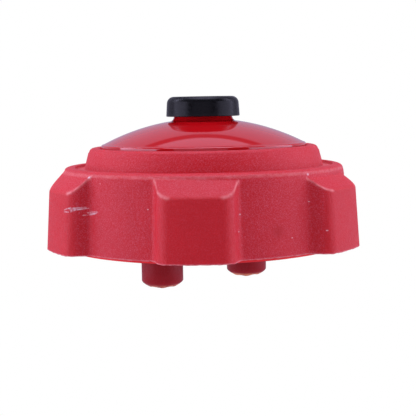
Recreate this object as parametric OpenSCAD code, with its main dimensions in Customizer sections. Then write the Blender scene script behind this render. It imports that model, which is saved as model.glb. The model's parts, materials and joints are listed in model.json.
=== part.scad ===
// Vented screw cap for a tank's filler neck.
// The cap's axis is Z. z = 0 is the bottom rim of the closure and of its threaded plug,
// and one lobe of the hand grip points along -Y. Sizes are in millimetres.

/* [Hand grip] */
// Radius over the lobes, at their bottom edge
lobe_r = 38.4; // [37:0.1:40]
// Radius over the lobes, where their chamfer starts
lobe_top_r = 37.5; // [36.5:0.1:38]
// Half the width of a lobe, across its outer face
lobe_half_w = 7.45; // [7:0.05:8]
// Angle of a lobe's flanks from its middle line
flank_angle = 8; // [6:0.5:12]
// Radius of the valleys between the lobes, at the bottom
valley_r = 34.2; // [33.8:0.1:34.6]
// Radius of the valleys, where their chamfer starts
valley_top_r = 33.4; // [33:0.1:33.8]
// Radius of the top face, where the chamfer ends
top_face_r = 32.1; // [31.6:0.1:32.6]
// Height of the grip, from its bottom edge to its top face
grip_h = 18.3; // [17.5:0.1:19]
// Height at which the lobes' chamfer starts
lobe_chamfer_h = 13.5; // [12.5:0.1:14.5]
// Radius of the raised collar round the dome, at its foot
collar_r = 28.4; // [28:0.1:29.2]
// Radius of the collar at its top
collar_top_r = 27.3; // [27:0.1:28]
// Height of the collar's top above the grip's bottom edge
collar_h = 22.9; // [22.5:0.1:23.5]
// Bore of the grip's skirt
skirt_bore_r = 32.2; // [32.2:0.05:32.4]

/* [Dome] */
// Radius of the dome's outer sphere
dome_sphere_r = 52; // [51:0.5:53]
// Radius of the dome's rim
dome_r = 24.5; // [24.3:0.1:24.6]
// Wall of the dome
dome_wall = 2; // [1.8:0.1:2.2]
// Radius of the dome's short neck
dome_neck_r = 7; // [6.8:0.1:7.2]

/* [Vent button] */
// Radius of the button at its lower edge
button_r = 8.8; // [8.6:0.1:9.2]
// Height of the button
button_h = 4.72; // [4.7:0.02:5]
// How far the button can be pressed
button_travel = 0.8; // [0.5:0.1:0.8]

/* [Closure] */
// Outer radius of the closure's skirt
closure_r = 31.9; // [31.8:0.05:31.9]
// Inner radius of the closure's skirt
closure_skirt_bore_r = 29.5; // [29.3:0.1:29.7]
// Radius over the plug's thread
plug_r = 24; // [23.6:0.1:24.2]
// Bore of the plug
plug_bore_r = 20.5; // [20:0.1:21]
// Diameter of a post
post_d = 9.8; // [9.4:0.1:10]
// Diameter of the circle that the two posts stand on
post_pcd = 25; // [24.6:0.1:25.4]
// How far the posts stand out below the closure
post_drop = 9; // [6:0.1:12]
// Direction of the first post from +X
post_angle = 38; // [30:1:50]

/* [Ratchet] */
// Number of ratchet teeth on the closure
ratchet_teeth = 24; // [12:12:24]
// Number of spring pawls on the ratchet ring
pawls = 6; // [3:3:6]

/* [Hidden] */

fine = 96;
lobes = 6;
lobe_pitch = 360 / lobes;
front_lobe = -90;
grip_z = 1;
grip_top_z = grip_z + grip_h;
chamfer_z = grip_z + lobe_chamfer_h;
// The chamfer is one cone, which the valleys' walls meet higher up
valley_chamfer_z = chamfer_z
    + (grip_h - lobe_chamfer_h) * (lobe_top_r - valley_top_r) / (lobe_top_r - top_face_r);
collar_top_z = grip_z + collar_h;
moat_z = grip_top_z - 0.6;
moat_r = 30.7;
ceiling_z = 16.6;
pocket_z = 15.4;
pocket_half_angle = 8;

// The grip snaps over the closure: a rib in a groove.
snap_z = 5.8;
rib_depth = 0.7;
rib_h = 1.2;
groove_gap = 0.3;

// The dome sits in a recess on a ledge inside the collar.
recess_r = 24.8;
ledge_z = 22;
ledge_t = 2;
ledge_bore_r = 21.5;
collar_bore_r = 25.4;
dome_apex_z = grip_z + 29.3;
dome_centre_z = dome_apex_z - dome_sphere_r;
neck_bore_r = 5;
neck_foot_z = 26.2;

// The button hangs on its stem above the neck, with room to be pressed.
button_z = grip_z + 29.8;
button_top_z = button_z + button_h;
button_roof_z = button_top_z - 1.86;
press_room = 0.6;
neck_top_z = button_roof_z - button_travel - press_room;
stem_r = 1.5;
stem_guide_r = 2.5;
boss_foot_z = button_roof_z - 1.8;

// The deck seals on the neck's rim, and the valve chamber stands on it.
deck_z = 11;
deck_t = 2;
deck_top_z = deck_z + deck_t;
chamber_r = 9;
chamber_wall_r = 11.5;
chamber_top_z = 22;
port_r = 5.5;
seat_z = deck_top_z + 0.3;
seal_t = 1;
plate_z = seat_z + seal_t;
plate_t = 1.2;
plate_top_z = plate_z + plate_t;
retainer_z = 20.2;
retainer_t = 1;
cup_z = 20.4;
cup_t = 0.8;
clip_t = 0.6;

// The ratchet: saw teeth on the deck, and pawls on a ring keyed into the grip.
tooth_r0 = 26.2;
tooth_r1 = 28.6;
tooth_len = 6;
tooth_h = 1.2;
ring_z = 14.6;
ring_top_z = 16.5;
lug_foot_z = 13.4;

// Point of an arc in the plane, about the origin
function polar(r, a) = [r * cos(a), r * sin(a)];

// Smooth step from 0 to 1
function ease(t) = t * t * (3 - 2 * t);

// Places a copy of the children at each lobe
module at_lobes() {
    for (i = [0:lobes - 1])
        rotate([0, 0, front_lobe + i * lobe_pitch]) children();
}

// Turns a flat profile through an angle that is centred on +X
module sector(half_angle) {
    rotate([0, 0, -half_angle])
        rotate_extrude(angle = 2 * half_angle, $fn = fine) children();
}

// Ring between two radii and two heights
module ring(r0, r1, z0, z1) {
    difference() {
        translate([0, 0, z0]) cylinder(r = r1, h = z1 - z0, $fn = fine);
        translate([0, 0, z0 - 1]) cylinder(r = r0, h = z1 - z0 + 2, $fn = fine);
    }
}

// Closed tube swept along a coil spring, with its end turns closed up.
// The coil rises from z0 to z1 about the Z axis.
module coil(coil_r, wire_r, turns, z0, z1) {
    sides = 8;
    steps = 18;
    rings = turns * steps;
    rise = z1 - z0 - 2 * wire_r;
    points = [
        for (i = [0:rings], j = [0:sides - 1])
            let (t = i / rings, turn = 360 * i / steps, a = 360 * j / sides)
            let (r = coil_r + wire_r * cos(a))
            [r * cos(turn), r * sin(turn), z0 + wire_r + rise * (0.55 * ease(t) + 0.45 * t) + wire_r * sin(a)]
    ];
    walls = [
        for (i = [0:rings - 1], j = [0:sides - 1])
            let (k = (j + 1) % sides)
            [i * sides + j, (i + 1) * sides + j, (i + 1) * sides + k, i * sides + k]
    ];
    first_end = [for (j = [0:sides - 1]) j];
    last_end = [for (j = [sides - 1:-1:0]) rings * sides + j];
    polyhedron(points, concat([first_end], walls, [last_end]), convexity = 10);
}

// Points of an arc, with its centre and its first and last direction
function arc(centre, r, from, to, steps) = [
    for (i = [0:steps])
        let (a = from + (to - from) * i / steps)
        [centre[0] + r * cos(a), centre[1] + r * sin(a)]
];

// Outline of one lobe, pointing along +X: a rounded corner, a flank, and a fillet at the root
module lobe_outline() {
    corner_r = 2.4;
    fillet_r = 1.9;
    steps = 6;
    inner_r = 32;
    facing = 90 - flank_angle;
    normal = [cos(facing), sin(facing)];
    along = [sin(facing), -cos(facing)];
    offset = lobe_r * normal[0] + lobe_half_w * normal[1];
    corner_in = offset - corner_r;
    corner = corner_in * normal + sqrt(pow(lobe_r - corner_r, 2) - pow(corner_in, 2)) * along;
    fillet_out = offset + fillet_r;
    fillet = fillet_out * normal + sqrt(pow(valley_r + fillet_r, 2) - pow(fillet_out, 2)) * along;
    root_angle = atan2(fillet[1], fillet[0]);
    upper = concat(
        [polar(inner_r, root_angle)],
        arc(fillet, fillet_r, 180 + root_angle, 180 + facing, steps),
        arc(corner, corner_r, facing, atan2(corner[1], corner[0]), steps),
        [polar(lobe_r + 0.3, 6)]
    );
    count = len(upper);
    lower = [for (i = [count - 1:-1:0]) [upper[i][0], -upper[i][1]]];
    polygon(concat(upper, lower));
}

// One lobe, pointing along +X
module lobe() {
    intersection() {
        translate([0, 0, grip_z - 1]) linear_extrude(height = grip_h + 2) lobe_outline();
        sector(24) polygon([
            [32.3, grip_z],
            [lobe_r, grip_z],
            [lobe_top_r, chamfer_z],
            [32.3, grip_top_z - 0.2 * (grip_h - lobe_chamfer_h) / (lobe_top_r - top_face_r)]
        ]);
    }
}

// Hand grip: six hollow lobes round a skirt, with a raised collar for the dome
module grip_shell() {
    edge = 1.2;
    rib_r = skirt_bore_r - rib_depth;
    color("firebrick") difference() {
        union() {
            rotate_extrude($fn = fine) polygon([
                [skirt_bore_r, grip_z],
                [valley_r, grip_z],
                [valley_top_r, valley_chamfer_z],
                [top_face_r, grip_top_z],
                [moat_r, grip_top_z],
                [moat_r, moat_z],
                [collar_r, moat_z],
                [collar_top_r + 0.2, collar_top_z - edge],
                [collar_top_r - 0.25, collar_top_z - 0.35],
                [collar_top_r - edge, collar_top_z],
                [recess_r, collar_top_z],
                [recess_r, ledge_z],
                [ledge_bore_r, ledge_z],
                [ledge_bore_r, ledge_z - ledge_t],
                [collar_bore_r, ledge_z - ledge_t],
                [collar_bore_r, ceiling_z],
                [skirt_bore_r, ceiling_z],
                [skirt_bore_r, snap_z + rib_h],
                [rib_r, snap_z + rib_h / 2],
                [rib_r, snap_z - rib_h / 2],
                [skirt_bore_r, snap_z - rib_h]
            ]);
            at_lobes() lobe();
        }
        // Each lobe is cored out from below
        at_lobes() sector(pocket_half_angle) polygon([
            [skirt_bore_r - 2, grip_z - 1],
            [35.8, grip_z - 1],
            [34.9, pocket_z],
            [skirt_bore_r - 2, pocket_z]
        ]);
    }
}

// Dome: a thin spherical cover with a rim, a snap skirt and a short neck
module dome_cover() {
    inner_r = dome_sphere_r - dome_wall;
    snap_foot_z = ledge_z - ledge_t - 1;
    color("red") rotate_extrude($fn = fine) difference() {
        union() {
            intersection() {
                translate([0, dome_centre_z]) circle(r = dome_sphere_r, $fn = 4 * fine);
                union() {
                    difference() {
                        translate([0, ledge_z]) square([dome_r, 12]);
                        translate([0, dome_centre_z]) circle(r = inner_r, $fn = 4 * fine);
                    }
                    translate([ledge_bore_r - 0.3, ledge_z])
                        square([dome_r - ledge_bore_r + 0.3, 3]);
                }
            }
            // Snap skirt with its bead under the ledge
            polygon([
                [19.9, snap_foot_z], [21.2, snap_foot_z], [21.9, snap_foot_z + 0.4],
                [21.2, snap_foot_z + 0.9], [21.2, 24], [19.9, 24.4]
            ]);
            // Neck, with a small fillet at its foot
            translate([0, neck_foot_z]) square([dome_neck_r, neck_top_z - neck_foot_z]);
            polygon([
                [6, 27.4], [7.8, 29.6], [7.6, 29.8], [7.2, 30.05], [dome_neck_r, 30.35], [6, 30.4]
            ]);
        }
        translate([-1, 10]) square([neck_bore_r + 1, 40]);
        // Groove for the seal, in the rim's underside
        translate([22.55, ledge_z - 1]) square([1.3, 2.15]);
    }
}

// O-ring under the dome's rim
module dome_seal() {
    seal_r = 0.55;
    color("dimgray") rotate_extrude($fn = fine)
        translate([23.2, ledge_z + seal_r]) circle(r = seal_r, $fn = 24);
}

// Bush in the dome's neck that guides the stem, with three flutes that let air past
module guide_bush() {
    bush_r = 4.95;
    flute_r = 0.8;
    color("ivory") difference() {
        union() {
            translate([0, 0, neck_foot_z - 0.8]) cylinder(r = 6.6, h = 0.8, $fn = fine);
            translate([0, 0, neck_foot_z - 0.4]) cylinder(r = bush_r, h = 5, $fn = fine);
        }
        translate([0, 0, neck_foot_z - 2])
            cylinder(r = stem_guide_r + 0.06, h = 10, $fn = fine);
        for (i = [0:2])
            rotate([0, 0, 120 * i]) translate([bush_r, 0, neck_foot_z - 2])
                cylinder(r = flute_r, h = 10, $fn = 24);
    }
}

// Ratchet ring: lugs key it into the lobes, and spring pawls reach down to the teeth
module ratchet_ring() {
    arm_angle = 34;
    slit = 0.5;
    color("whitesmoke") difference() {
        union() {
            ring(tooth_r0 - 0.4, 31.9, ring_z, ring_top_z);
            at_lobes() sector(pocket_half_angle - 1) polygon([
                [31.3, lug_foot_z],
                [34.6, lug_foot_z],
                [34.5, pocket_z - 0.15],
                [31.6, pocket_z - 0.15],
                [31.3, ring_z + 0.2]
            ]);
            for (i = [0:pawls - 1])
                rotate([0, 0, i * 360 / pawls]) pawl_tooth();
        }
        // Slits that free each pawl's arm, along its outer edge and at its tip
        for (i = [0:pawls - 1]) {
            rotate([0, 0, i * 360 / pawls + arm_angle / 2 + 6.5]) sector(arm_angle / 2)
                translate([tooth_r1 + 0.1, ring_z - 1]) square([slit, 4]);
            rotate([0, 0, i * 360 / pawls + 6.2]) sector(0.5)
                translate([tooth_r0 - 2, ring_z - 1]) square([tooth_r1 - tooth_r0 + 2.5, 4]);
            rotate([0, 0, i * 360 / pawls + arm_angle / 2 + 6.5]) sector(arm_angle / 2)
                translate([tooth_r0 - 2, ring_z + 1.1]) square([tooth_r1 - tooth_r0 + 2.2, 2]);
        }
    }
}

// Tooth of one pawl: it drops into the gap beside a ratchet tooth's steep face
module pawl_tooth() {
    face = tooth_len / 2 + 0.3;
    rotate([90, 0, 90]) translate([0, 0, tooth_r0])
        linear_extrude(height = tooth_r1 - tooth_r0)
            polygon([
                [face, ring_z + 0.4], [face, deck_top_z + 0.25], [face + 0.8, deck_top_z + 0.25],
                [face + 3.4, deck_top_z + 0.85], [face + 4, ring_z + 0.4]
            ]);
}

// Closure: threaded plug, sealing deck, valve chamber, ratchet teeth and two posts
module closure_body() {
    land = 1.2;
    thread_pitch = 2.6;
    thread_depth = 1;
    post_r = post_d / 2;
    post_chamfer = 1;
    color("firebrick") {
        difference() {
            union() {
                difference() {
                    cylinder(r = closure_r, h = deck_top_z, $fn = fine);
                    ring(plug_r, closure_skirt_bore_r, -1, deck_z);
                    translate([0, 0, -1]) cylinder(r = plug_bore_r, h = deck_z + 1, $fn = fine);
                }
                // Valve chamber above the deck
                translate([0, 0, deck_top_z - 1])
                    cylinder(r = chamber_wall_r, h = chamber_top_z - deck_top_z + 1, $fn = fine);
                for (side = [0, 180])
                    rotate([0, 0, post_angle + side]) translate([post_pcd / 2, 0, 0]) {
                        translate([0, 0, post_chamfer - post_drop])
                            cylinder(r = post_r, h = deck_z + 1 - post_chamfer + post_drop, $fn = fine);
                        translate([0, 0, -post_drop])
                            cylinder(r1 = post_r - post_chamfer, r2 = post_r, h = post_chamfer, $fn = fine);
                    }
                for (i = [0:ratchet_teeth - 1])
                    rotate([0, 0, i * 360 / ratchet_teeth]) ratchet_tooth();
            }
            // Chamber bore, down to the floor that carries the seat
            translate([0, 0, deck_top_z]) cylinder(r = chamber_r, h = 20, $fn = fine);
            translate([0, 0, deck_z - 1]) cylinder(r = port_r, h = 4, $fn = fine);
            // Groove for the circlip, above the spring retainer
            ring(chamber_r - 1, chamber_r + 0.55, retainer_z + retainer_t, retainer_z + retainer_t + 0.65);
            // Thread grooves between the lands, and the undercut under the gasket
            for (i = [0:2])
                ring(plug_r - thread_depth, plug_r + 1, land + i * thread_pitch, (i + 1) * thread_pitch);
            ring(plug_r - thread_depth, plug_r + 1, 9, deck_z);
            // Groove that the grip snaps into
            ring(closure_r - rib_depth, closure_r + 1,
                snap_z - rib_h - groove_gap, snap_z + rib_h + groove_gap);
        }
        // Seat for the relief valve
        ring(6.2, 7, deck_top_z, seat_z);
    }
}

// One saw tooth of the ratchet, centred on +X
module ratchet_tooth() {
    half = tooth_len / 2;
    rotate([90, 0, 90]) translate([0, 0, tooth_r0])
        linear_extrude(height = tooth_r1 - tooth_r0)
            polygon([
                [-half, deck_top_z - 0.5], [half, deck_top_z - 0.5],
                [half, deck_top_z + tooth_h], [half - 0.4, deck_top_z + tooth_h], [-half, deck_top_z]
            ]);
}

// Flat rubber gasket that the neck's rim presses against
module neck_gasket() {
    color("dimgray") ring(plug_r + 0.5, closure_skirt_bore_r - 0.5, deck_z - 1.7, deck_z);
}

// Slip washer that carries the ratchet ring
module thrust_washer() {
    color("ivory") ring(29.8, 30.9, deck_top_z, ring_z - 0.1);
}

// Perforated disc that holds the relief spring down
module spring_retainer() {
    color("silver") difference() {
        ring(5.1, chamber_r - 0.1, retainer_z, retainer_z + retainer_t);
        for (i = [0:5])
            rotate([0, 0, 60 * i]) translate([7, 0, retainer_z - 1])
                cylinder(r = 0.6, h = 3, $fn = 24);
    }
}

// Circlip above the spring retainer
module valve_circlip() {
    clip_z = retainer_z + retainer_t + 0.05;
    color("dimgray") difference() {
        ring(chamber_r - 1, chamber_r + 0.4, clip_z, clip_z + 0.55);
        translate([chamber_r, 0, clip_z]) cube([4, 5, 4], center = true);
    }
}

// Relief valve plate: a disc with a rim round its seal and a spring locator on top
module relief_plate() {
    color("silver") union() {
        ring(2.4, 8.6, plate_z, plate_top_z);
        ring(7.9, 8.6, seat_z + 0.2, plate_top_z);
        ring(5, 5.7, plate_top_z - 0.2, plate_top_z + 0.8);
    }
}

// Sealing ring under the relief plate
module relief_seal() {
    color("dimgray") ring(5.7, 7.8, seat_z, plate_z);
}

// Coil spring that holds the relief plate on its seat
module relief_spring() {
    color("silver") coil(7.1, 0.5, 4, plate_top_z + 0.02, retainer_z - 0.02);
}

// Vent button: a hollow cap with a rounded top edge and an inner boss for the stem
module vent_button() {
    edge = 1.6;
    top_r = button_r - 0.2;
    cavity_r = button_r - 0.9;
    color("black") difference() {
        rotate_extrude($fn = fine) difference() {
            union() {
                polygon([
                    [0, button_z], [button_r - 0.25, button_z], [button_r, button_z + 0.25],
                    [top_r, button_top_z - edge], [0, button_top_z - edge]
                ]);
                translate([0, button_top_z - edge]) square([top_r - edge, edge]);
                intersection() {
                    translate([top_r - edge, button_top_z - edge]) circle(r = edge, $fn = 48);
                    translate([0, button_top_z - edge]) square([top_r, edge]);
                }
            }
            translate([4.4, button_z - 1]) square([cavity_r - 4.4, button_roof_z - button_z + 1]);
            translate([-1, button_z - 1]) square([5.5, boss_foot_z - button_z + 1]);
        }
        translate([0, 0, boss_foot_z - 1]) cylinder(r = 1.65, h = 2.5, $fn = fine);
    }
}

// Stem from the button down to the vacuum poppet
module button_stem() {
    color("silver") rotate_extrude($fn = fine) polygon([
        [0, 12],
        [stem_r, 12],
        [stem_r, cup_z + cup_t - 0.02],
        [stem_r - 0.3, cup_z + cup_t - 0.02],
        [stem_r - 0.3, cup_z + cup_t + clip_t + 0.02],
        [stem_r, cup_z + cup_t + clip_t + 0.02],
        [stem_r, 23],
        [stem_guide_r, 23.6],
        [stem_guide_r, boss_foot_z],
        [1.6, boss_foot_z],
        [1.6, boss_foot_z + 1.2],
        [1.3, boss_foot_z + 1.45],
        [0, boss_foot_z + 1.45]
    ]);
}

// Vacuum poppet: a small plate on the stem's foot, below the relief plate
module vacuum_poppet() {
    color("goldenrod") union() {
        ring(stem_r + 0.02, 4, 12.3, plate_z - 0.8);
        ring(stem_r + 0.02, 2, 12.3, plate_z + 0.4);
    }
}

// Sealing ring on the vacuum poppet
module vacuum_seal() {
    color("dimgray") ring(2.05, 3.7, plate_z - 0.8, plate_z);
}

// Cup that the button's return spring pushes up against the clip
module spring_cup() {
    color("silver") union() {
        ring(stem_r + 0.03, 4.5, cup_z, cup_z + cup_t);
        ring(stem_r + 0.03, 2.9, cup_z - 0.8, cup_z + 0.2);
    }
}

// Spring clip in the stem's groove
module stem_clip() {
    color("dimgray") difference() {
        ring(stem_r - 0.25, 3, cup_z + cup_t, cup_z + cup_t + clip_t);
        translate([2, 0, cup_z + cup_t]) cube([3, 1.6, 4], center = true);
    }
}

// Return spring of the vent button
module button_spring() {
    color("silver") coil(3.6, 0.35, 5, plate_top_z + 0.02, cup_z - 0.02);
}

closure_body();
neck_gasket();
thrust_washer();
spring_retainer();
valve_circlip();
relief_plate();
relief_seal();
relief_spring();
vent_button();
button_stem();
vacuum_poppet();
vacuum_seal();
spring_cup();
stem_clip();
button_spring();
grip_shell();
dome_cover();
dome_seal();
guide_bush();
ratchet_ring();
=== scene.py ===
"""Looks of a vented filler cap: a lobed red grip, a glossy dome and a black vent button.

Lengths are in millimetres in the row's frame until a mesh is written, which is in metres.
"""
import json
import math

import bpy
import numpy as np
from mathutils import Matrix, Vector


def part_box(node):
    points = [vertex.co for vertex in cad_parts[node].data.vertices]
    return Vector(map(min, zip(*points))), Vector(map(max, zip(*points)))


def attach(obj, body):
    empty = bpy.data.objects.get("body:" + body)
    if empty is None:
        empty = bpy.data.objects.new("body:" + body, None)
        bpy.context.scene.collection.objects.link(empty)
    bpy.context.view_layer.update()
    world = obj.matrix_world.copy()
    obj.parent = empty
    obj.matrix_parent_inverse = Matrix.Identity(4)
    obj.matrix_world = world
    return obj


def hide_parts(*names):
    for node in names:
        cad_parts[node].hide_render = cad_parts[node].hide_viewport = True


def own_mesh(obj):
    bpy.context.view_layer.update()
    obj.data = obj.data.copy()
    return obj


MM = 0.001
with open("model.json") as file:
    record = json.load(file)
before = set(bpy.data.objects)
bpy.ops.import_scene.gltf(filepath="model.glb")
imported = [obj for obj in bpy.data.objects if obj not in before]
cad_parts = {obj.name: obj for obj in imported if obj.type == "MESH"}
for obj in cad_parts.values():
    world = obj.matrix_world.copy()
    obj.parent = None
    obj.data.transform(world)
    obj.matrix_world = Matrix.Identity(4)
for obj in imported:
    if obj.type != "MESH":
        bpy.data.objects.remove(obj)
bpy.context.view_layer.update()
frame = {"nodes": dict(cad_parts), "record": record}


def box_mm(node):
    """Lowest and highest corner of a CAD node, in millimetres."""
    low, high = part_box(node)
    return low / MM, high / MM


# ---------------------------------------------------------------- driving sizes, from the frame
grip_low, grip_high = box_mm("grip_shell")
dome_low, dome_high = box_mm("dome_cover")
button_low, button_high = box_mm("vent_button")
closure_low, closure_high = box_mm("closure_body")

LOBE_R = grip_high.y
GRIP_Z = grip_low.z
COLLAR_TOP = GRIP_Z + 22.7
DOME_R = dome_high.x
NECK_TOP = dome_high.z
BUTTON_R = button_high.x
BUTTON_Z = button_low.z
BUTTON_TOP = button_high.z
CLOSURE_R = closure_high.x
POST_FOOT = closure_low.z
CHAMBER_TOP = closure_high.z
DECK_Z = box_mm("neck_gasket")[1].z
DECK_TOP = box_mm("thrust_washer")[0].z
LEDGE_Z = box_mm("dome_seal")[0].z
NECK_FOOT = box_mm("guide_bush")[0].z + 0.8

LOBES = 6
FRONT_LOBE = -90.0
WALL_R = 36.0


# ---------------------------------------------------------------- mesh helpers
def new_object(name, verts, faces, sharp_angle=38):
    """A mesh object from points in millimetres, shaded smooth except at sharp edges."""
    mesh = bpy.data.meshes.new(name)
    mesh.from_pydata((np.asarray(verts, float) * MM).tolist(), [], faces)
    mesh.validate()
    mesh.polygons.foreach_set("use_smooth", [True] * len(mesh.polygons))
    mesh.set_sharp_from_angle(angle=math.radians(sharp_angle))
    mesh.update()
    obj = bpy.data.objects.new(name, mesh)
    bpy.context.scene.collection.objects.link(obj)
    return obj


def grid_faces(rows, columns, wrap_rows=True):
    """Quads of a grid that closes on itself along its columns, and along its rows if asked."""
    faces = []
    for i in range(rows if wrap_rows else rows - 1):
        a, b = i * columns, ((i + 1) % rows) * columns
        for j in range(columns):
            k = (j + 1) % columns
            faces.append((a + j, b + j, b + k, a + k))
    return faces


def arc(centre, radius, start, end, steps):
    """Points of an arc in the profile's plane, angles in degrees."""
    turns = np.radians(np.linspace(start, end, steps + 1))
    return [(centre[0] + radius * math.cos(t), centre[1] + radius * math.sin(t)) for t in turns]


def densify(points, longest):
    """The closed profile with its long straight stretches split up."""
    out = []
    for i, p in enumerate(points):
        q = points[(i + 1) % len(points)]
        parts = max(1, int(math.ceil(math.dist(p, q) / longest)))
        out += [(p[0] + (q[0] - p[0]) * k / parts, p[1] + (q[1] - p[1]) * k / parts) for k in range(parts)]
    return out


def lathe(name, profile, segments=256, warp=None, longest=2.5):
    """A closed profile of (radius, height), counter-clockwise, turned about Z.

    warp(r, z, turn) may move the points of each ring.
    """
    profile = np.array(densify(profile, longest))
    turn = np.linspace(0, 2 * math.pi, segments, endpoint=False)
    r = np.repeat(profile[None, :, 0], segments, 0)
    z = np.repeat(profile[None, :, 1], segments, 0)
    t = np.repeat(turn[:, None], len(profile), 1)
    if warp:
        r, z = warp(r, z, t)
    verts = np.stack([r * np.cos(t), r * np.sin(t), z], -1).reshape(-1, 3)
    return new_object(name, verts, grid_faces(segments, len(profile)))


def turned(name, outline, segments=192):
    """An open outline from the axis to the axis, turned about Z and closed at both poles."""
    inner = np.array(outline[1:-1])
    turn = np.linspace(0, 2 * math.pi, segments, endpoint=False)
    rings = [
        np.stack([p[0] * np.cos(turn), p[0] * np.sin(turn), np.full(segments, p[1])], -1) for p in inner
    ]
    verts = np.concatenate(rings + [np.array([[0, 0, outline[0][1]], [0, 0, outline[-1][1]]])])
    first, last = len(verts) - 2, len(verts) - 1
    faces = []
    for i in range(len(inner) - 1):
        for j in range(segments):
            k = (j + 1) % segments
            faces.append((i * segments + j, i * segments + k, (i + 1) * segments + k, (i + 1) * segments + j))
    end = (len(inner) - 1) * segments
    for j in range(segments):
        k = (j + 1) % segments
        faces.append((first, k, j))
        faces.append((last, end + j, end + k))
    return new_object(name, verts, faces)


def smooth_min(a, b, k):
    """The lesser of two, with a round corner k wide between them."""
    h = np.clip(0.5 + 0.5 * (b - a) / k, 0, 1)
    return b + (a - b) * h - k * h * (1 - h)


def smooth_max(a, b, k):
    return -smooth_min(-a, -b, k)


# ---------------------------------------------------------------- the grip
LOBE_DRAFT = 0.9 / 13.5
VALLEY_R = 34.2
VALLEY_DRAFT = 0.8 / 16.8
HALF_WIDTH = 7.7
WIDTH_DRAFT = 0.015
FLANK_NORMAL = Vector((math.sin(math.radians(14)), math.cos(math.radians(14))))
CORNER_R = 3.4
FILLET_R = 1.75
GRIP_TOP = GRIP_Z + 18.3
CHAMFER_FOOT = (37.6, GRIP_Z + 13.55)
SHOULDER = (33.4, GRIP_Z + 17.1)


def outline_radius(off_lobe, z):
    """Radius of the grip's outer wall at an angle off the nearest lobe's middle, in radians.

    From the middle: the lobe's face, its rounded corner, its flank, the fillet at the root, and the valley.
    """
    up = z - GRIP_Z
    a = np.abs(off_lobe)
    face = LOBE_R - LOBE_DRAFT * up
    valley = VALLEY_R - VALLEY_DRAFT * up
    offset = face * FLANK_NORMAL.x + (HALF_WIDTH - WIDTH_DRAFT * up) * FLANK_NORMAL.y

    def rounded(radius, sign):
        """The arc that joins the flank to the face (sign -1) or to the valley (sign 1)."""
        across = offset + sign * radius
        reach = (face if sign < 0 else valley) + sign * radius
        along = np.sqrt(reach ** 2 - across ** 2)
        x, y = across * FLANK_NORMAL.x + along * FLANK_NORMAL.y, across * FLANK_NORMAL.y - along * FLANK_NORMAL.x
        turn = np.arctan2(y, x)
        flank_end = np.arctan2(y - sign * radius * FLANK_NORMAL.y, x - sign * radius * FLANK_NORMAL.x)
        half_chord = np.sqrt(np.maximum(radius ** 2 - (reach * np.sin(a - turn)) ** 2, 0))
        return turn, flank_end, reach * np.cos(a - turn) - sign * half_chord

    face_end, flank_start, corner = rounded(CORNER_R, -1)
    valley_start, flank_end, fillet = rounded(FILLET_R, 1)
    flank = offset / np.maximum(FLANK_NORMAL.x * np.cos(a) + FLANK_NORMAL.y * np.sin(a), 0.05)
    return np.select([a < face_end, a < flank_start, a < flank_end, a < valley_start],
                     [face, corner, flank, fillet], valley)


def ray_to_line(r0, z0, c, s, foot, top):
    """Distance along a ray to the slanted line from foot to top, which may differ from ray to ray."""
    normal_r, normal_z = top[1] - foot[1], foot[0] - top[0]
    slope = normal_r * c + normal_z * s
    return (normal_r * (foot[0] - r0) + normal_z * (foot[1] - z0)) / np.maximum(slope, 0.02)


def along_ray(off_lobe, turn, r0, z0, angle):
    """Where a ray from (r0, z0) leaves the grip's section, and how near that is to a lobe's bevelled edge."""
    c, s = math.cos(angle), math.sin(angle)
    wall = np.full_like(off_lobe, 3.0)
    valley = np.full_like(off_lobe, 3.0)
    for _ in range(10):
        height = z0 + np.clip(wall, 0, 20) * s
        wall = (outline_radius(off_lobe, height) - r0) / c
        valley = (VALLEY_R - VALLEY_DRAFT * (z0 + np.clip(valley, 0, 20) * s - GRIP_Z) - r0) / c
    top = np.full_like(off_lobe, (GRIP_TOP - z0) / s if s > 0.02 else 60.0)
    # The lobes' chamfer ends flush with the rounded shoulder on one side, and just below it on the other
    rise = -0.1 - 0.7 * np.cos(turn)
    chamfer = ray_to_line(r0, z0, c, s, CHAMFER_FOOT, (SHOULDER[0], SHOULDER[1] + rise))
    bevel_foot, bevel_top = (SHOULDER[0] + 0.08, SHOULDER[1] - 0.02), (SHOULDER[0] - 1.1, GRIP_TOP + 0.1)
    bevel = ray_to_line(r0, z0, c, s, bevel_foot, bevel_top)
    shoulder = smooth_min(smooth_min(valley, bevel + 0.25, 1.1), top, 1.2)
    lobe = smooth_min(smooth_min(wall, chamfer, 0.45), top, 0.5)
    far = smooth_max(shoulder, lobe, 0.12)
    beside = np.clip((np.abs(np.degrees(off_lobe)) - 7.6) / 1.6, 0.07, 1)
    edge = np.exp(-((wall - chamfer) / 0.4) ** 2) * (wall > valley + 0.15) * (chamfer > shoulder - 0.3) * beside
    return r0 + far * c, z0 + far * s, edge


def lobe_angles():
    """Angles round the axis, in degrees off a lobe's middle, denser where the flanks are."""
    half = np.concatenate([
        np.linspace(0, 6.6, 6), [7.2, 7.85, 8.0, 8.15], np.linspace(8.4, 14.2, 42), np.linspace(14.4, 18.6, 22),
        np.linspace(19.4, 30, 8),
    ])
    return np.unique(np.round(np.concatenate([-half[::-1][1:], half]), 4))[1:]


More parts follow.
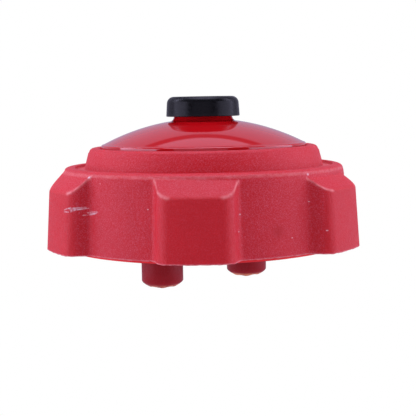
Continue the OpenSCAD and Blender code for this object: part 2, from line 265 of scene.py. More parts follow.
def build_grip():
    """One closed mesh: lobed outside, moat, collar, dome recess, and a cored inside."""
    bore = 32.2
    ceiling, pocket_top = 16.6, 15.4
    ray_foot = GRIP_Z + 12.9
    off = lobe_angles()
    columns = [(lobe, a) for lobe in range(LOBES) for a in off]
    turn = np.radians([FRONT_LOBE + lobe * 360 / LOBES + a for lobe, a in columns])
    off_lobe = np.radians([a for _, a in columns])
    none = np.zeros_like(turn)
    rows = []

    def flat(r, z):
        rows.append((none + r, none + z, none))

    # Bottom face and its edge, with a trace of flash along it
    flash = 0.035 * np.sin(turn * 61 + 2 * np.sin(turn * 17)) + 0.03 * np.sin(turn * 143 + 1)
    foot = outline_radius(off_lobe, GRIP_Z)
    for inset, rise in ((1.2, 0.0), (0.5, 0.0), (0.22, -0.03), (0.1, -0.1), (0.0, 0.02), (0.0, 0.16)):
        rows.append((foot - inset, none + GRIP_Z + rise - (flash + 0.03) * (rise <= 0.02) * (inset < 0.5), none))
    # Outer wall, from horizontal rays
    for z in np.linspace(GRIP_Z + 0.5, GRIP_Z + 12.4, 22):
        rows.append(along_ray(off_lobe, turn, 29.0, z, 0.0))
    # Chamfer and rim, from a fan of rays
    for angle in np.concatenate([np.linspace(0, 10, 20), np.linspace(10.7, 66, 70)]):
        rows.append(along_ray(off_lobe, turn, 29.0, ray_foot, math.radians(angle)))
    moat_z = GRIP_TOP - 0.75
    profile = [(31.15, GRIP_TOP), (30.95, GRIP_TOP - 0.02), (30.82, GRIP_TOP - 0.09), (30.74, GRIP_TOP - 0.22)]
    profile += [(30.68, GRIP_TOP - 0.5), (30.58, moat_z + 0.06), (30.4, moat_z), (29.6, moat_z)]
    profile += [(29.0, moat_z), (28.72, moat_z + 0.08), (28.56, moat_z + 0.25), (28.46, moat_z + 0.6)]
    profile += [(28.2, GRIP_TOP + 1.0), (27.9, GRIP_TOP + 2.1), (27.62, GRIP_TOP + 3.2)]
    round_r = 1.15
    profile += arc((27.42 - round_r, COLLAR_TOP - round_r), round_r, 12, 90, 8)
    profile += [(25.9, COLLAR_TOP), (25.35, COLLAR_TOP), (25.06, COLLAR_TOP - 0.03)]
    profile += [(24.9, COLLAR_TOP - 0.14), (24.83, COLLAR_TOP - 0.35), (24.8, COLLAR_TOP - 1.0)]
    profile += [(24.8, LEDGE_Z), (23.0, LEDGE_Z), (21.5, LEDGE_Z), (21.5, LEDGE_Z - 1), (21.5, LEDGE_Z - 2)]
    profile += [(23.4, LEDGE_Z - 2), (25.4, LEDGE_Z - 2), (25.4, 18.1), (25.4, ceiling), (28.6, ceiling)]
    profile += [(31.0, ceiling)]
    for r, z in profile:
        flat(r, z)
    # Inner wall, with a pocket behind each lobe and the snap rib between the pockets
    in_pocket = np.abs(np.degrees(off_lobe)) <= 8.01
    skirt = [(bore, ceiling), (bore, 15.9), (bore, 15.3), (bore, 14.7), (bore, 12.0), (bore, 9.0),
             (bore, 7.0), (bore - 0.7, 6.4), (bore - 0.7, 5.2), (bore, 4.6), (bore, 2.6), (bore, GRIP_Z + 0.2)]
    pocket = [(bore, ceiling), (bore, pocket_top + 0.3), (bore + 0.3, pocket_top), (34.6, pocket_top),
              (34.95, 15.0), (35.1, 10.5), (35.3, 7.0), (35.35, 6.4), (35.45, 5.2), (35.5, 4.6),
              (35.6, 2.6), (35.75, GRIP_Z)]
    for (r0, z0), (r1, z1) in zip(skirt, pocket):
        rows.append((np.where(in_pocket, r1, r0), np.where(in_pocket, z1, z0), none))
    rows.append((np.where(in_pocket, 35.9, bore + 0.25), none + GRIP_Z, none))
    r = np.stack([row[0] for row in rows], 1)
    z = np.stack([row[1] for row in rows], 1)
    t = turn[:, None]
    verts = np.stack([r * np.cos(t), r * np.sin(t), z], -1).reshape(-1, 3)
    grip = new_object("grip", verts, grid_faces(len(turn), len(rows)), 50)
    edge = grip.data.attributes.new("edge", "FLOAT", "POINT")
    edge.data.foreach_set("value", np.stack([row[2] for row in rows], 1).ravel())
    return grip


# ---------------------------------------------------------------- the dome
DOME_SPHERE = 52.0
DOME_WALL = 2.0
DOME_APEX = GRIP_Z + 29.3
NECK_R = 7.0
NECK_BORE = 5.0


def sphere_z(r, wall=0.0):
    """Height of the dome's outer sphere, or of its inner one, over a radius."""
    return DOME_APEX - DOME_SPHERE + math.sqrt((DOME_SPHERE - wall) ** 2 - r * r)


def build_dome():
    """Thin spherical cover with a rolled rim, a snap skirt, a seal groove and a neck."""
    foot, ledge = dome_low.z, LEDGE_Z
    rim = 0.42
    edge = DOME_R - 0.95
    rim_centre = (DOME_R - rim, sphere_z(DOME_R) - 0.16)
    profile = [(NECK_BORE, NECK_FOOT + 0.2), (NECK_BORE + 0.2, NECK_FOOT), (NECK_R - 0.2, NECK_FOOT)]
    profile += [(NECK_R, NECK_FOOT + 0.2)]
    profile += [(NECK_R, sphere_z(NECK_R, DOME_WALL) - 0.3), (NECK_R + 0.3, sphere_z(NECK_R + 0.3, DOME_WALL))]
    profile += [(r, sphere_z(r, DOME_WALL)) for r in np.linspace(8.5, 19.6, 9)]
    profile += [(19.9, foot + 0.2), (20.1, foot), (21.0, foot), (21.3, foot + 0.15), (21.9, foot + 0.4)]
    profile += [(21.2, foot + 0.9), (21.2, ledge + 0.1), (21.35, ledge), (22.55, ledge), (22.55, ledge + 1.15)]
    profile += [(23.85, ledge + 1.15), (23.85, ledge), (DOME_R - 0.15, ledge), (DOME_R, ledge + 0.15)]
    profile += arc(rim_centre, rim, 0, 68, 9)
    # The sphere meets the rolled rim in a fine crease
    profile += [(edge + 0.28, sphere_z(edge + 0.3) + 0.015), (edge + 0.1, sphere_z(edge + 0.1) - 0.005)]
    profile += [(r, sphere_z(r)) for r in np.linspace(edge - 0.15, 8.7, 40)]
    profile += arc((NECK_R + 1.15, sphere_z(8.15) + 1.13), 1.15, 277, 180, 10)[1:]
    profile += [(NECK_R, NECK_TOP - 0.2), (NECK_R - 0.2, NECK_TOP), (NECK_BORE + 0.2, NECK_TOP)]
    profile += [(NECK_BORE, NECK_TOP - 0.2)]
    return lathe("dome", profile, 320, longest=3.0)


# ---------------------------------------------------------------- the button
def build_button():
    """Mushroom button: rounded top edge, drafted side, hollow below, and a boss for the stem."""
    top_round = 1.65
    draft = 0.2
    side_top = BUTTON_R - draft
    roof, boss_foot, boss_r = BUTTON_TOP - 1.86, BUTTON_TOP - 3.66, 4.4
    cavity = BUTTON_R - 0.9
    outline = [(0, BUTTON_TOP), (2.5, BUTTON_TOP), (5.0, BUTTON_TOP)]
    outline += arc((side_top - top_round, BUTTON_TOP - top_round), top_round, 90, 4, 12)
    outline += [(BUTTON_R - 0.1, BUTTON_Z + 1.7), (BUTTON_R - 0.04, BUTTON_Z + 0.7)]
    outline += [(BUTTON_R, BUTTON_Z + 0.22), (BUTTON_R - 0.05, BUTTON_Z + 0.07), (BUTTON_R - 0.2, BUTTON_Z)]
    outline += [(cavity + 0.12, BUTTON_Z), (cavity, BUTTON_Z + 0.12), (cavity, roof - 0.3), (cavity - 0.3, roof)]
    outline += [(boss_r + 0.2, roof), (boss_r, roof - 0.2), (boss_r, boss_foot + 0.15), (boss_r - 0.15, boss_foot)]
    outline += [(1.75, boss_foot), (1.65, boss_foot + 0.1), (1.65, boss_foot + 1.5), (0, boss_foot + 1.5)]
    return turned("button", outline[::-1])


# ---------------------------------------------------------------- the closure
PLUG_R = 24.0
PLUG_BORE = 20.5
THREAD_PITCH = 2.6
THREAD_DEPTH = 1.0
POST_R = 4.9
POST_CIRCLE = 12.5
POST_ANGLES = (38, 218)
TEETH = 24
LIP_R = 33.5


def thread_warp(r, z, turn):
    """Winds a trapezoid thread round the plug's outer wall."""
    on_plug = (np.abs(r - PLUG_R) < 0.01) & (z > 0.3) & (z < 9.3)
    phase = (z / THREAD_PITCH - turn / (2 * math.pi)) % 1.0
    crest = np.clip((0.36 - np.abs(phase - 0.5)) / 0.14, 0, 1)
    run_in = np.clip(np.minimum(z - 0.3, 9.3 - z) / 0.5, 0, 1)
    depth = THREAD_DEPTH * (1 - crest * run_in)
    return np.where(on_plug, r - depth, r), z


def build_closure():
    """Skirt, sealing deck, threaded plug and valve chamber, as one turned mesh."""
    skirt_bore, seat = 29.5, 0.3
    chamber_r, chamber_wall, port = 9.0, 11.5, 5.5
    groove_z = 21.2
    edge = 0.25
    plug_wall = [(PLUG_R, z) for z in np.arange(0.35, 9.3, 0.13)]
    profile = [(port, DECK_Z + 0.2), (port + 0.2, DECK_Z), (PLUG_BORE - 0.5, DECK_Z), (PLUG_BORE, DECK_Z - 0.5)]
    profile += [(PLUG_BORE, edge), (PLUG_BORE + edge, 0), (PLUG_R - 1.3, 0), (PLUG_R - 1.0, 0.28)]
    profile += plug_wall
    profile += [(PLUG_R - 1, 9.4), (PLUG_R - 1, DECK_Z), (skirt_bore, DECK_Z), (skirt_bore, edge)]
    # A thin lip stands out under the grip's valleys
    lip_r, lip_low, lip_high = LIP_R, 0.36, 0.86
    profile += [(skirt_bore + edge, 0), (CLOSURE_R - edge, 0), (CLOSURE_R, lip_low), (lip_r - 0.12, lip_low)]
    profile += [(lip_r, lip_low + 0.12), (lip_r, lip_high - 0.12), (lip_r - 0.12, lip_high)]
    profile += [(CLOSURE_R, lip_high), (CLOSURE_R, 4.3)]
    profile += [(CLOSURE_R - 0.7, 4.3), (CLOSURE_R - 0.7, 7.3), (CLOSURE_R, 7.3), (CLOSURE_R, DECK_TOP - edge)]
    profile += [(CLOSURE_R - edge, DECK_TOP), (chamber_wall + 0.5, DECK_TOP), (chamber_wall, DECK_TOP + 0.5)]
    profile += [(chamber_wall, CHAMBER_TOP - edge), (chamber_wall - edge, CHAMBER_TOP)]
    profile += [(chamber_r + 0.4, CHAMBER_TOP), (chamber_r, CHAMBER_TOP - 0.15), (chamber_r, groove_z + 0.65)]
    profile += [(chamber_r + 0.55, groove_z + 0.65), (chamber_r + 0.55, groove_z), (chamber_r, groove_z)]
    profile += [(chamber_r, DECK_TOP), (7.0, DECK_TOP), (6.9, DECK_TOP + seat), (6.3, DECK_TOP + seat)]
    profile += [(6.2, DECK_TOP), (port + 0.2, DECK_TOP), (port, DECK_TOP - 0.2)]
    return lathe("closure", profile, 240, thread_warp, longest=4.0)


def build_post(index, angle):
    """Round post with a chamfered, roughly cut end."""
    rng = np.random.default_rng(7 + index)
    segments = 96
    turn = np.linspace(0, 2 * math.pi, segments, endpoint=False)
    phases = rng.uniform(0, 2 * math.pi, 6)
    ragged = sum(np.sin(turn * n + p) / n for n, p in zip((3, 5, 8, 13, 21, 34), phases))
    chamfer = 1.4
    rings = []
    for share in (0.12, 0.3, 0.5, 0.68, 0.84, 0.95, 1.0):
        end_r = (POST_R - chamfer) * share
        bumps = 0.13 * ragged * share + 0.07 * np.sin(turn * 7 + share * 9) * share
        stub = 0.4 * np.exp(-((end_r * np.cos(turn) + 0.3) / 1.3) ** 2 - ((end_r * np.sin(turn) + 1.6) / 1.4) ** 2)
        rings.append((np.full(segments, end_r), POST_FOOT + 0.3 + bumps - stub))
    rings.append((POST_R - 0.8 + 0.06 * ragged, POST_FOOT + 0.66 + 0.1 * ragged))
    rings.append((POST_R - 0.2 + 0.03 * ragged, POST_FOOT + 1.15 + 0.06 * ragged))
    for z in (POST_FOOT + 1.5, -5.0, -1.0, 3.0, 7.0, DECK_Z - 0.6):
        rings.append((np.full(segments, POST_R), np.full(segments, z)))
    rings.append((np.full(segments, POST_R + 0.25), np.full(segments, DECK_Z - 0.2)))
    rings.append((np.full(segments, POST_R + 0.6), np.full(segments, DECK_Z + 0.1)))
    verts = np.concatenate([np.stack([r * np.cos(turn), r * np.sin(turn), z], -1) for r, z in rings])
    verts = np.concatenate([verts, [[0, 0, POST_FOOT + 0.16]], [[0, 0, DECK_Z + 0.1]]])
    centre = Vector((POST_CIRCLE * math.cos(math.radians(angle)), POST_CIRCLE * math.sin(math.radians(angle)), 0))
    verts = verts + np.array(centre)
    low, high = len(verts) - 2, len(verts) - 1
    faces = []
    for i in range(len(rings) - 1):
        for j in range(segments):
            k = (j + 1) % segments
            faces.append((i * segments + j, i * segments + k, (i + 1) * segments + k, (i + 1) * segments + j))
    last = (len(rings) - 1) * segments
    for j in range(segments):
        k = (j + 1) % segments
        faces.append((low, k, j))
        faces.append((high, last + j, last + k))
    return new_object(f"post_{index + 1}", verts, faces)


def build_teeth():
    """Ring of saw teeth on the deck, as one mesh of separate closed wedges."""
    r0, r1, length, height, sink = 26.2, 28.6, 6.0, 1.2, 0.3
    half = length / 2
    section = [(-half, -sink), (half, -sink), (half, height - 0.12), (half - 0.12, height),
               (half - 0.4, height), (-half, 0.03)]
    verts, faces = [], []
    for i in range(TEETH):
        turn = math.radians(360 / TEETH * i)
        radial = Vector((math.cos(turn), math.sin(turn), 0))
        sideways = Vector((-math.sin(turn), math.cos(turn), 0))
        start = len(verts)
        for r in (r0, r1):
            verts += [tuple(radial * r + sideways * s + Vector((0, 0, DECK_TOP + h))) for s, h in section]
        n = len(section)
        faces.append(tuple(start + j for j in range(n))[::-1])
        faces.append(tuple(start + n + j for j in range(n)))
        faces += [(start + j, start + (j + 1) % n, start + n + (j + 1) % n, start + n + j) for j in range(n)]
    return new_object("ratchet_teeth", verts, faces, 20)


# ---------------------------------------------------------------- springs
def build_coil(name, coil_r, wire_r, turns, z0, z1):
    """Coil spring with closed end turns, as a swept tube with rounded ends."""
    sides, steps = 16, 48
    count = turns * steps
    t = np.linspace(0, 1, count + 1)
    rise = z1 - z0 - 2 * wire_r
    height = z0 + wire_r + rise * (0.55 * t * t * (3 - 2 * t) + 0.45 * t)
    turn = t * turns * 2 * math.pi
    a = np.linspace(0, 2 * math.pi, sides, endpoint=False)
    thick = np.full(count + 1, wire_r)
    thick[[0, -1]] = wire_r * 0.72
    r = coil_r + thick[:, None] * np.cos(a)[None, :]
    z = height[:, None] + thick[:, None] * np.sin(a)[None, :]
    verts = np.stack([r * np.cos(turn)[:, None], r * np.sin(turn)[:, None], z], -1).reshape(-1, 3)
    faces = grid_faces(count + 1, sides, wrap_rows=False)
    faces.append(tuple(range(sides)))
    faces.append(tuple(count * sides + j for j in reversed(range(sides))))
    return new_object(name, verts, faces)


# ---------------------------------------------------------------- materials
class Shader:
    """A Principled material under construction, with the noise and bump helpers the materials share."""

    def __init__(self, name, color, roughness, metallic=0.0, specular=0.5):
        self.material = bpy.data.materials.new(name)
        self.material.use_nodes = True
        self.tree = self.material.node_tree
        self.bsdf = self.tree.nodes["Principled BSDF"]
        self.bsdf.inputs["Base Color"].default_value = (*color, 1)
        self.bsdf.inputs["Roughness"].default_value = roughness
        self.bsdf.inputs["Metallic"].default_value = metallic
        self.bsdf.inputs["Specular IOR Level"].default_value = specular
        self.place = self.add("ShaderNodeTexCoord").outputs["Object"]
        self.color = color
        self.normal = None

    def add(self, kind, **values):
        node = self.tree.nodes.new(kind)
        for key, value in values.items():
            setattr(node, key, value)
        return node

    def link(self, source, target):
        self.tree.links.new(source, target)

    def noise(self, size_mm, detail=3.0, roughness=0.55, stretch=(1, 1, 1)):
        """Noise with features about size_mm across, from 0 to 1."""
        mapping = self.add("ShaderNodeMapping")
        mapping.inputs["Scale"].default_value = stretch
        self.link(self.place, mapping.inputs["Vector"])
        node = self.add("ShaderNodeTexNoise")
        node.inputs["Scale"].default_value = 1 / (size_mm * MM)
        node.inputs["Detail"].default_value = detail
        node.inputs["Roughness"].default_value = roughness
        self.link(mapping.outputs["Vector"], node.inputs["Vector"])
        return node.outputs["Fac"]

    def remap(self, value, low, high, to_low, to_high, smooth=False):
        node = self.add("ShaderNodeMapRange", interpolation_type="SMOOTHSTEP" if smooth else "LINEAR")
        for key, number in (("From Min", low), ("From Max", high), ("To Min", to_low), ("To Max", to_high)):
            node.inputs[key].default_value = number
        self.link(value, node.inputs["Value"])
        return node.outputs["Result"]

    def math(self, operation, a, b=None):
        node = self.add("ShaderNodeMath", operation=operation)
        for socket, value in zip(node.inputs, (a, b)):
            if value is None:
                continue
            if isinstance(value, (int, float)):
                socket.default_value = value
            else:
                self.link(value, socket)
        return node.outputs["Value"]

    def bump(self, height, depth_mm, strength=1.0):
        node = self.add("ShaderNodeBump")
        node.inputs["Strength"].default_value = strength
        node.inputs["Distance"].default_value = depth_mm * MM
        self.link(height, node.inputs["Height"])
        if self.normal is not None:
            self.link(self.normal, node.inputs["Normal"])
        self.normal = node.outputs["Normal"]
        self.link(self.normal, self.bsdf.inputs["Normal"])

    def tint(self, share, color):
        """Mixes a colour over the present base colour by share."""
        node = self.add("ShaderNodeMix", data_type="RGBA")
        base = self.bsdf.inputs["Base Color"]
        if base.is_linked:
            self.link(base.links[0].from_socket, node.inputs[6])
        else:
            node.inputs[6].default_value = base.default_value
        node.inputs[7].default_value = (*color, 1)
        self.link(share, node.inputs[0])
        self.link(node.outputs[2], base)

    def rough(self, value):
        self.link(value, self.bsdf.inputs["Roughness"])

    def height(self):
        split = self.add("ShaderNodeSeparateXYZ")
        self.link(self.place, split.inputs[0])
        return split.outputs["Z"]

    def ramp(self, start, end, share=1):
        """From 0 at one height in millimetres to share at another."""
        return self.remap(self.height(), start * MM, end * MM, 0, share, smooth=True)

    def axial(self):
        """Radius and angle round the cap's axis, as sockets in metres and radians."""
        split = self.add("ShaderNodeSeparateXYZ")
        self.link(self.place, split.inputs[0])
        x, y = split.outputs["X"], split.outputs["Y"]
        radius = self.math("SQRT", self.math("ADD", self.math("MULTIPLY", x, x), self.math("MULTIPLY", y, y)))
        return radius, self.math("ARCTAN2", y, x)

    def unrolled(self):
        """The grip's wall laid flat: distance round it and height above its bottom edge, in millimetres."""
        flat = self.add("ShaderNodeCombineXYZ")
        self.link(self.math("MULTIPLY", self.axial()[1], WALL_R), flat.inputs["X"])
        up = self.math("SUBTRACT", self.math("DIVIDE", self.height(), MM), GRIP_Z)
        self.link(up, flat.inputs["Y"])
        return flat.outputs[0]

    def mark(self, wall, start, end, width):
        """Mask of a hairline on the unrolled wall, between two places given as (degrees, height)."""
        a, b = (Vector((math.radians(turn) * WALL_R, up, 0)) for turn, up in (start, end))
        along = b - a
        offset = self.add("ShaderNodeVectorMath", operation="SUBTRACT")
        self.link(wall, offset.inputs[0])
        offset.inputs[1].default_value = a
        dot = self.add("ShaderNodeVectorMath", operation="DOT_PRODUCT")
        self.link(offset.outputs[0], dot.inputs[0])
        dot.inputs[1].default_value = along / max(along.length_squared, 1e-6)
        share = self.add("ShaderNodeClamp")
        self.link(dot.outputs["Value"], share.inputs["Value"])
        nearest = self.add("ShaderNodeVectorMath", operation="SCALE")
        nearest.inputs[0].default_value = along
        self.link(share.outputs[0], nearest.inputs["Scale"])
        distance = self.add("ShaderNodeVectorMath", operation="DISTANCE")
        self.link(offset.outputs[0], distance.inputs[0])
        self.link(nearest.outputs[0], distance.inputs[1])
        return self.remap(distance.outputs["Value"], 0, width, 1, 0, smooth=True)


def darker(color, share):
    return tuple(c * share for c in color)


GRAIN_TONE = (0.78, 0.20, 0.26)
GRAIN_BAND = (0.47, 0.72)
# Pale pink for the rubbed chamfer edges and for the painted highlight on the shoulder's rim
WORN_AND_HIGHLIGHT_TONE = (0.86, 0.27, 0.24)


def moulded(name, color, roughness, grain_mm=0.3, grain_depth=0.03, specular=0.5, mottle=0.12, speckle=0.16):
    """Spark-eroded moulded plastic: fine grain, a slight mottle, and uneven roughness."""
    s = Shader(name, color, roughness, specular=specular)
    s.tint(s.remap(s.noise(6, 2), 0.35, 0.7, 0, mottle), darker(color, 0.72))
    s.tint(s.remap(s.noise(grain_mm * 0.75, 2), *GRAIN_BAND, 0, speckle), GRAIN_TONE)
    s.rough(s.remap(s.noise(grain_mm * 2, 2), 0.3, 0.7, roughness - 0.07, roughness + 0.07))
    s.bump(s.noise(9, 2), 0.10, 0.5)
    s.bump(s.noise(grain_mm, 2.5, 0.6), grain_depth)
    return s


# Wear on the grip's wall: places are (degrees round the axis, millimetres above its bottom edge)
PALE, DEEP, SCRATCHED = (0.9, 0.7, 0.7), (0.5, 0.003, 0.005), (0.9, 0.62, 0.6)
LEFT_CORNER = (FRONT_LOBE - 60 + 12, 10.0)
RIGHT_VALLEY = (FRONT_LOBE + 30, 5.5)
CREST_OFF, CREST_UP = 14.5, 17.2


def scratches():
    """A bundle of fine scratches across the left lobe's corner, as (start, end, width, share)."""
    rng = np.random.default_rng(4)
    for _ in range(9):
        turn, up = LEFT_CORNER[0] + rng.uniform(-6, 4), LEFT_CORNER[1] + rng.uniform(-1.5, 1)
        end = (turn + rng.uniform(1.5, 4), up + rng.uniform(-0.1, 0.7))
        yield (turn, up), end, rng.uniform(0.12, 0.24), rng.uniform(0.4, 0.9)


def specks():
    """Stray nicks over the front, a plain blemish in a valley, and rubbed crests.

    Each is (place, width, share, tone).
    """
    rng = np.random.default_rng(11)
    for _ in range(8):
        yield (rng.uniform(-145, -40), rng.uniform(2, 17)), rng.uniform(0.14, 0.24), rng.uniform(0.4, 0.8), PALE
    yield RIGHT_VALLEY, 2.3, 0.75, DEEP
    for side in (-1, 1):
        yield (FRONT_LOBE + side * (60 - CREST_OFF), CREST_UP), 0.38, 0.8, PALE


def grip_material():
    color = (0.61, 0.004, 0.008)
    s = moulded("grip_red", color, 0.5, grain_depth=0.14, specular=0.31, speckle=0.09)
    # The grain shows most in the valleys and on the collar, and hands have smoothed the lobes' faces
    grainy = s.remap(s.axial()[0], 36.4 * MM, 37.4 * MM, 1, 0, smooth=True)
    s.tint(s.math("MULTIPLY", s.remap(s.noise(0.225, 2), *GRAIN_BAND, 0, 0.26), grainy), GRAIN_TONE)
    # The grain is rubbed pale along the chamfers' side edges
    worn = s.add("ShaderNodeAttribute", attribute_name="edge").outputs["Fac"]
    s.tint(s.math("MULTIPLY", worn, s.remap(s.noise(1.6, 3), 0.35, 0.65, 0.25, 0.85)), WORN_AND_HIGHLIGHT_TONE)
    wall = s.unrolled()
    broken = s.remap(s.noise(0.7, 3), 0.36, 0.6, 0.15, 1)
    for start, end, width, share in scratches():
        line = s.mark(wall, start, end, width)
        s.tint(s.math("MULTIPLY", line, s.math("MULTIPLY", broken, share)), SCRATCHED)
    for place, width, share, tone in specks():
        s.tint(s.math("MULTIPLY", s.mark(wall, place, (place[0] + 0.3, place[1]), width), share), tone)
    # Painted highlight: the shoulder's rim is tinted pale where it catches the light, and the moulding is paler
    # where flash was trimmed off below
    rim = s.math("MULTIPLY", s.ramp(GRIP_Z + 16.95, GRIP_Z + 17.35), s.ramp(GRIP_Z + 18.0, GRIP_Z + 17.6))
    s.tint(s.math("MULTIPLY", rim, s.remap(s.noise(1.1, 3), 0.35, 0.65, 0.12, 0.34)), WORN_AND_HIGHLIGHT_TONE)
    # Painted highlight: the bottom edge is tinted a brighter red, as if lit from below
    s.tint(s.ramp(GRIP_Z + 0.35, GRIP_Z - 0.1, 0.45), (0.8, 0.12, 0.14))
    flash = s.math("MULTIPLY", s.ramp(GRIP_Z + 0.2, GRIP_Z + 0.04), broken)
    s.tint(s.math("MULTIPLY", flash, 0.4), (0.88, 0.36, 0.32))
    return s.material


def dome_material():
    color = (0.55, 0.004, 0.007)
    s = Shader("dome_red", color, 0.05, specular=0.5)
    s.bsdf.inputs["Coat Weight"].default_value = 0.25
    s.bsdf.inputs["Coat Roughness"].default_value = 0.04
    s.tint(s.remap(s.noise(12, 2), 0.35, 0.7, 0, 0.12), darker(color, 0.8))
    s.rough(s.remap(s.noise(3, 4), 0.35, 0.75, 0.03, 0.07))
    s.bump(s.noise(9, 2), 0.03, 0.4)
    s.bump(s.noise(0.5, 2), 0.0012, 0.5)
    return s.material


def closure_material():
    color = (0.34, 0.003, 0.005)
    s = moulded("closure_red", color, 0.5, grain_depth=0.012, specular=0.2, speckle=0.05)
    radius = s.axial()[0]
    # Painted highlight: the outer lip is tinted a brighter red, as if lit from below
    s.tint(s.remap(radius, (LIP_R - 1.2) * MM, (LIP_R - 0.6) * MM, 0, 1), (0.85, 0.02, 0.02))
    # The posts' cut, rough ends are tinted pale orange in ragged patches
    pale_patches = s.remap(s.noise(2.2, 3), 0.4, 0.62, 0.2, 0.9)
    share = s.math("MULTIPLY", s.ramp(POST_FOOT + 1.0, POST_FOOT + 0.55), pale_patches)
    s.tint(share, (0.9, 0.30, 0.12))
    return s.material


def button_material():
    color = (0.004, 0.004, 0.0042)
    s = Shader("button_black", color, 0.3, specular=0.15)
    s.tint(s.remap(s.noise(1.5, 3), 0.55, 0.8, 0, 0.4), (0.012, 0.012, 0.014))
    s.rough(s.remap(s.noise(0.8, 4), 0.3, 0.7, 0.22, 0.4))
    s.bump(s.noise(2.5, 2, stretch=(0.25, 0.25, 6)), 0.012, 0.7)
    s.bump(s.noise(0.4, 3), 0.006)
    return s.material


def rubber_material():
    color = (0.018, 0.018, 0.019)
    s = Shader("black_rubber", color, 0.7)
    s.tint(s.remap(s.noise(2, 3), 0.4, 0.7, 0, 0.5), (0.04, 0.04, 0.042))
    s.rough(s.remap(s.noise(1, 3), 0.3, 0.7, 0.6, 0.8))
    s.bump(s.noise(0.25, 3), 0.01)
    return s.material


def acetal_material():
    color = (0.82, 0.80, 0.74)
    s = Shader("white_acetal", color, 0.38)
    s.bsdf.inputs["Subsurface Weight"].default_value = 0.1
    s.bsdf.inputs["Subsurface Radius"].default_value = (0.001, 0.001, 0.001)
    s.tint(s.remap(s.noise(4, 3), 0.4, 0.7, 0, 0.3), (0.72, 0.69, 0.60))
    s.rough(s.remap(s.noise(1, 3), 0.3, 0.7, 0.3, 0.46))
    s.bump(s.noise(0.5, 3), 0.005)
    return s.material


def metal_material(name, color, roughness, stretch):
    s = Shader(name, color, roughness, metallic=1.0)
    s.tint(s.remap(s.noise(3, 3), 0.4, 0.7, 0, 0.4), darker(color, 0.8))
    s.rough(s.remap(s.noise(0.6, 3, stretch=stretch), 0.3, 0.7, roughness - 0.08, roughness + 0.1))
    s.bump(s.noise(0.5, 2, stretch=stretch), 0.004)
    return s.material


MATERIALS = {
    "grip_red": grip_material(),
    "dome_red": dome_material(),
    "closure_red": closure_material(),
    "button_black": button_material(),
    "black_rubber": rubber_material(),
    "white_acetal": acetal_material(),
    "steel": metal_material("steel", (0.62, 0.61, 0.58), 0.3, (1, 1, 5)),
    "spring_steel": metal_material("spring_steel", (0.42, 0.42, 0.43), 0.34, (4, 1, 1)),
    "brass": metal_material("brass", (0.80, 0.56, 0.22), 0.28, (1, 1, 6)),
}


# ---------------------------------------------------------------- pieces on their bodies
def dress(obj, slot):
    """Gives a piece the material of its slot."""
    obj.data.materials.clear()
    obj.data.materials.append(MATERIALS[slot])


def put(obj, body, slot, *stands_for):
    """Finishes a piece: its material, its body, and the CAD nodes it stands for."""
    dress(obj, slot)
    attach(obj, body)
    if stands_for:
        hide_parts(*stands_for)
    return obj


put(build_grip(), "grip", "grip_red", "grip_shell")
put(build_dome(), "grip", "dome_red", "dome_cover")
put(build_button(), "button", "button_black", "vent_button")
put(build_closure(), "closure", "closure_red", "closure_body")
for number, post_angle in enumerate(POST_ANGLES):
    put(build_post(number, post_angle), "closure", "closure_red")
put(build_teeth(), "closure", "closure_red")

RELIEF_SEAT = box_mm("relief_spring")
BUTTON_SEAT = box_mm("button_spring")
relief_coil = build_coil("relief_coil", 7.1, 0.5, 4, RELIEF_SEAT[0].z, RELIEF_SEAT[1].z)
put(relief_coil, "closure", "spring_steel", "relief_spring")
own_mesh(relief_coil)
button_coil = build_coil("button_coil", 3.6, 0.35, 5, BUTTON_SEAT[0].z, BUTTON_SEAT[1].z)
put(button_coil, "relief", "spring_steel", "button_spring")
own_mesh(button_coil)

slots = {row["node"]: row["material_slot"] for row in frame["record"]["subparts"]}
for node, obj in frame["nodes"].items():
    if not obj.hide_render:
        dress(obj, slots[node])


# ---------------------------------------------------------------- stage, light and camera
# How bright the surroundings are, as the cap is lit by them and mirrors them
BACKDROP, GAP, OVERHEAD, ZENITH, FRONT_ROOM, TABLE = 0.42, 0.12, 0.8, 3.6, 0.06, 0.66
COOL_WHITE = (1.0, 0.97, 1.36)


def emission(name, color, strength):
    material = bpy.data.materials.new(name)
    material.use_nodes = True
    tree = material.node_tree
    tree.nodes.clear()
    glow = tree.nodes.new("ShaderNodeEmission")
    glow.inputs["Color"].default_value = (*color, 1)
    glow.inputs["Strength"].default_value = strength
    out = tree.nodes.new("ShaderNodeOutputMaterial")
    tree.links.new(glow.outputs[0], out.inputs["Surface"])
    return material


def add_floor():
    """A pale floor some way below the cap, lit from within as a light table is."""
    size, drop = 900.0, 55.0
    z = POST_FOOT - drop
    corners = [(-size, -size, z), (size, -size, z), (size, size, z), (-size, size, z)]
    floor = new_object("floor", corners, [(0, 1, 2, 3)])
    floor.data.materials.append(emission("floor_white", (1, 1, 1), 1.0))
    floor.visible_diffuse = False
    floor.visible_glossy = False


def add_softbox(name, azimuth, elevation, distance, width, height, radiance):
    """A soft rectangular light that faces the cap. Azimuth 0 is the front, and 90 the right."""
    a, e = math.radians(azimuth), math.radians(elevation)
    aim = Vector((0, 0, 18 * MM))
    out = Vector((math.sin(a) * math.cos(e), -math.cos(a) * math.cos(e), math.sin(e)))
    light = bpy.data.lights.new(name, "AREA")
    light.shape = "RECTANGLE"
    light.size, light.size_y = width * MM, height * MM
    light.energy = radiance * math.pi * light.size * light.size_y
    light.color = COOL_WHITE
    obj = bpy.data.objects.new(name, light)
    obj.location = aim + out * distance * MM
    obj.rotation_mode = "QUATERNION"
    obj.rotation_quaternion = (-out).to_track_quat("-Z", "Y")
    bpy.context.scene.collection.objects.link(obj)


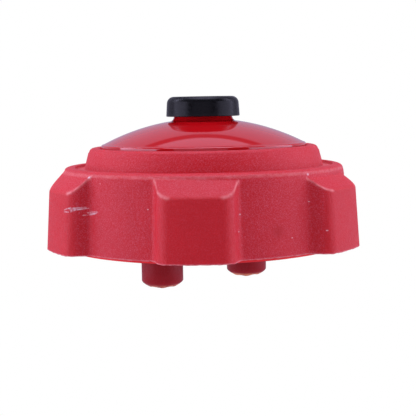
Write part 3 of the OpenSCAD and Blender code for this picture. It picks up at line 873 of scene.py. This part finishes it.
def add_world():
    """White surroundings to the eye. For the cap: a white table, a pale backdrop, and a darker room in front."""
    world = bpy.data.worlds.new("studio")
    world.use_nodes = True
    tree = world.node_tree
    tree.nodes.clear()

    def node(kind, **values):
        made = tree.nodes.new(kind)
        for key, value in values.items():
            setattr(made, key, value)
        return made

    def blend(share, a, b):
        mix = node("ShaderNodeMix", data_type="FLOAT")
        tree.links.new(share, mix.inputs[0])
        for socket, value in ((mix.inputs[2], a), (mix.inputs[3], b)):
            if isinstance(value, float):
                socket.default_value = value
            else:
                tree.links.new(value, socket)
        return mix.outputs[0]

    def step(value, low, high):
        made = node("ShaderNodeMapRange", interpolation_type="SMOOTHSTEP")
        made.inputs["From Min"].default_value, made.inputs["From Max"].default_value = low, high
        tree.links.new(value, made.inputs["Value"])
        return made.outputs["Result"]

    split = node("ShaderNodeSeparateXYZ")
    tree.links.new(node("ShaderNodeTexCoord").outputs["Generated"], split.inputs[0])
    up, back = split.outputs["Z"], split.outputs["Y"]
    backdrop = blend(step(up, 0.66, 0.685), BACKDROP, GAP)
    backdrop = blend(step(up, 0.722, 0.745), backdrop, OVERHEAD)
    above = blend(step(back, -0.15, 0.35), FRONT_ROOM, backdrop)
    above = blend(step(up, 0.88, 0.95), above, ZENITH)
    strength = blend(step(up, -0.12, 0.02), TABLE, above)
    wrap = node("ShaderNodeBackground")
    wrap.inputs["Color"].default_value = (*COOL_WHITE, 1)
    tree.links.new(strength, wrap.inputs["Strength"])
    seen = node("ShaderNodeBackground")
    seen.inputs["Color"].default_value = (1, 1, 1, 1)
    mix = node("ShaderNodeMixShader")
    tree.links.new(node("ShaderNodeLightPath").outputs["Is Camera Ray"], mix.inputs[0])
    tree.links.new(wrap.outputs[0], mix.inputs[1])
    tree.links.new(seen.outputs[0], mix.inputs[2])
    tree.links.new(mix.outputs[0], node("ShaderNodeOutputWorld").inputs["Surface"])
    bpy.context.scene.world = world


def add_camera():
    """The viewing place: level with the dome's top, a little to the right of the front lobe."""
    azimuth, distance, height = math.radians(3.0), 239.4, GRIP_Z + 33.2
    pitch, yaw, roll = math.radians(6.1), math.radians(-0.196), math.radians(1.0)
    heading = azimuth + yaw
    ahead = Vector((-math.sin(heading) * math.cos(pitch), math.cos(heading) * math.cos(pitch), -math.sin(pitch)))
    right = Vector((math.cos(heading), math.sin(heading), 0))
    up = right.cross(ahead)
    tilted_right = right * math.cos(roll) - up * math.sin(roll)
    tilted_up = up * math.cos(roll) + right * math.sin(roll)
    data = bpy.data.cameras.new("camera")
    data.lens = 86.0
    data.sensor_width = 36.0
    data.clip_start, data.clip_end = 0.01, 10
    camera = bpy.data.objects.new("camera", data)
    place = Vector((math.sin(azimuth) * distance, -math.cos(azimuth) * distance, height)) * MM
    turn = Matrix((tilted_right, tilted_up, -ahead)).transposed().to_4x4()
    camera.matrix_world = Matrix.Translation(place) @ turn
    bpy.context.scene.collection.objects.link(camera)
    bpy.context.scene.camera = camera


add_floor()
add_world()
add_softbox("left_softbox", -73, 6, 420, 400, 360, 2.5)
add_softbox("right_softbox", 84, 6, 420, 520, 360, 1.9)
add_softbox("front_softbox", 0, 12, 420, 460, 300, 0.5)
add_softbox("left_strip", -106, 38, 420, 60, 200, 8.0)
add_softbox("right_strip", 106, 38, 420, 60, 200, 6.0)
add_camera()
bpy.context.scene.view_settings.view_transform = "Standard"
